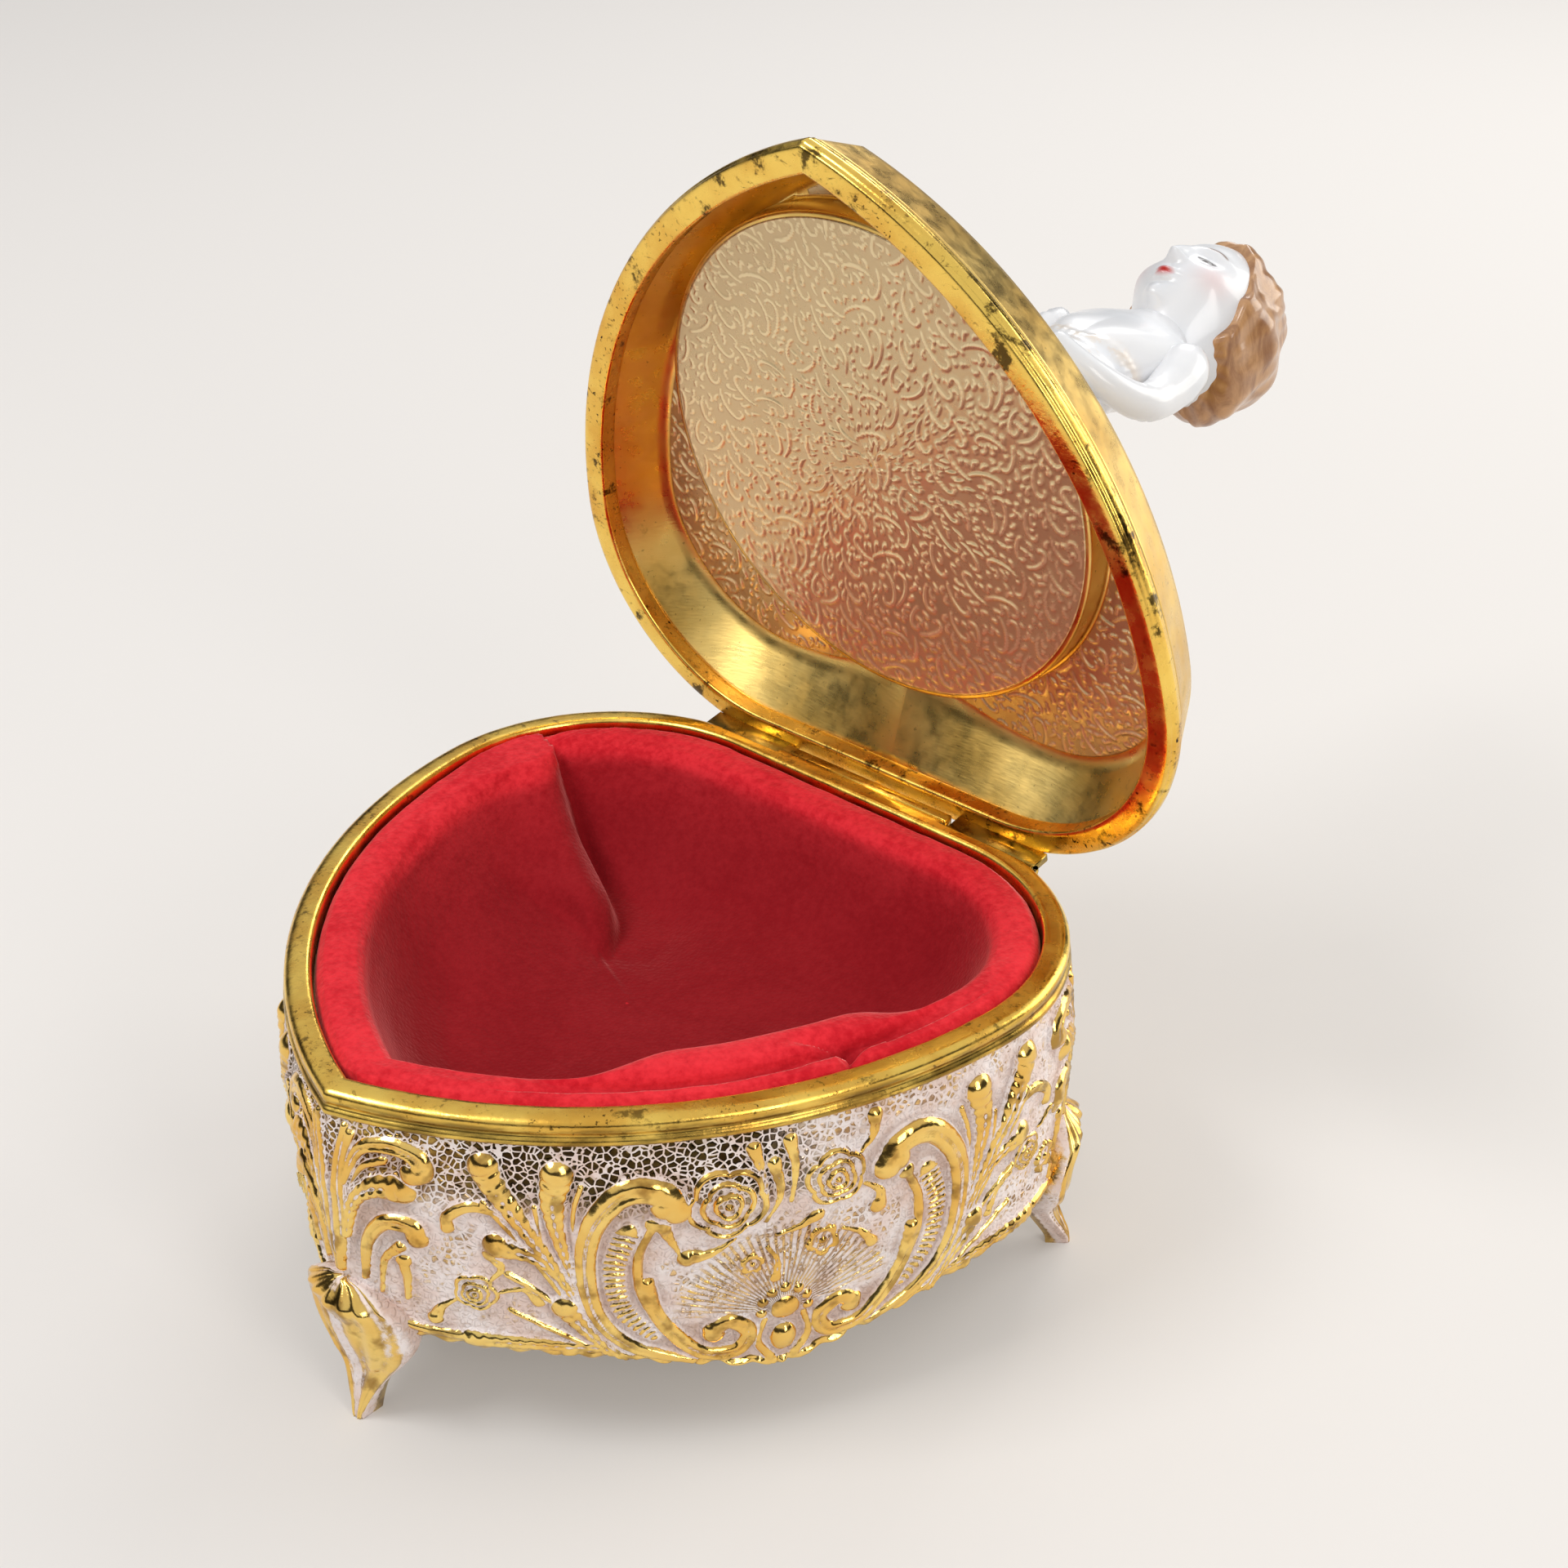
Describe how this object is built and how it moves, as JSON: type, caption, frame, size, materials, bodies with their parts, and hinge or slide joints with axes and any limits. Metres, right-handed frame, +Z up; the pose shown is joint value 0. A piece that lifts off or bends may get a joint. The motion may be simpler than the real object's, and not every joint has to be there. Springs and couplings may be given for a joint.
{
  "type": "music box",
  "caption": "Heart-shaped gilt metal wind-up music box on leaf feet, hinged lid open, red velvet lining and a porcelain lady on the lid.",
  "frame": {"origin": "on the table under the middle of the open box", "axes": "+Z up, +X to the right of the lid hinge as seen from the front point, +Y from the front point to the hinge"},
  "size_m": [0.1058, 0.1948, 0.1496],
  "materials": {
    "gilt_white_casting": "white-washed gilt zinc casting, gold on the high relief",
    "gilt_metal": "worn gilt, satin to bright",
    "base_metal": "plain gilt sheet",
    "velvet": "red velvet pile",
    "card": "grey card",
    "foil": "embossed gold foil on card",
    "porcelain": "white glazed porcelain with painted hair and face",
    "steel": "bright steel",
    "movement_brass": "plain brass"
  },
  "bodies": {
    "casket": {"body_shell": "gilt_white_casting", "body_rim": "gilt_metal", "hinge_pin": "steel", "base_plate": "base_metal", "base_plate_screws": "steel", "movement_screws": "steel", "floor_card": "card", "lining_wall": "velvet", "lining_floor": "velvet", "bedplate": "movement_brass", "spring_housing": "movement_brass", "mainspring": "steel", "drum_brackets": "steel", "comb_base": "movement_brass", "comb": "steel", "comb_screws": "steel", "governor_frame": "movement_brass", "governor_screws": "steel", "slide_rivets": "steel"},
    "lid": {"lid_rim": "gilt_metal", "lid_shell": "gilt_metal", "lid_foil": "foil", "platform_foil": "foil", "figurine": "porcelain"},
    "key_arbor": {"winding_key": "base_metal", "winding_arbor": "steel", "great_wheel": "movement_brass"},
    "cylinder": {"drum": "movement_brass", "drum_shaft": "steel", "drum_pinion": "steel", "drum_wheel": "movement_brass"},
    "governor_train": {"governor_wheel": "movement_brass", "governor_arbor": "steel"},
    "fly": {"fly": "steel"},
    "stop_slide": {"stop_slide": "steel"}
  },
  "joints": [
    {"name": "lid_hinge", "type": "hinge", "parent": "casket", "child": "lid", "pos_m": [0, 0.00318, 0.0497], "axis": [1, 0, 0], "range_deg": [0, 80]},
    {"name": "key_turn", "type": "hinge", "parent": "casket", "child": "key_arbor", "pos_m": [-0.016, -0.03482, 0.0155], "axis": [0, 0, 1], "continuous": true},
    {"name": "cylinder_turn", "type": "hinge", "parent": "casket", "child": "cylinder", "pos_m": [0, -0.03482, 0.0275], "axis": [1, 0, 0], "continuous": true},
    {"name": "governor_turn", "type": "hinge", "parent": "casket", "child": "governor_train", "pos_m": [0, -0.0273, 0.02386], "axis": [1, 0, 0], "continuous": true},
    {"name": "fly_spin", "type": "hinge", "parent": "casket", "child": "fly", "pos_m": [0.0196, -0.02285, 0.02], "axis": [0, 0, 1], "continuous": true},
    {"name": "stop_travel", "type": "slide", "parent": "casket", "child": "stop_slide", "axis": [0, 1, 0], "range_m": [0, 0.004]}
  ],
  "couplings": [
    {"joint": "cylinder_turn", "follows": "key_turn", "ratio": 4},
    {"joint": "governor_turn", "follows": "key_turn", "ratio": -6.1538},
    {"joint": "fly_spin", "follows": "key_turn", "ratio": -36.923}
  ]
}
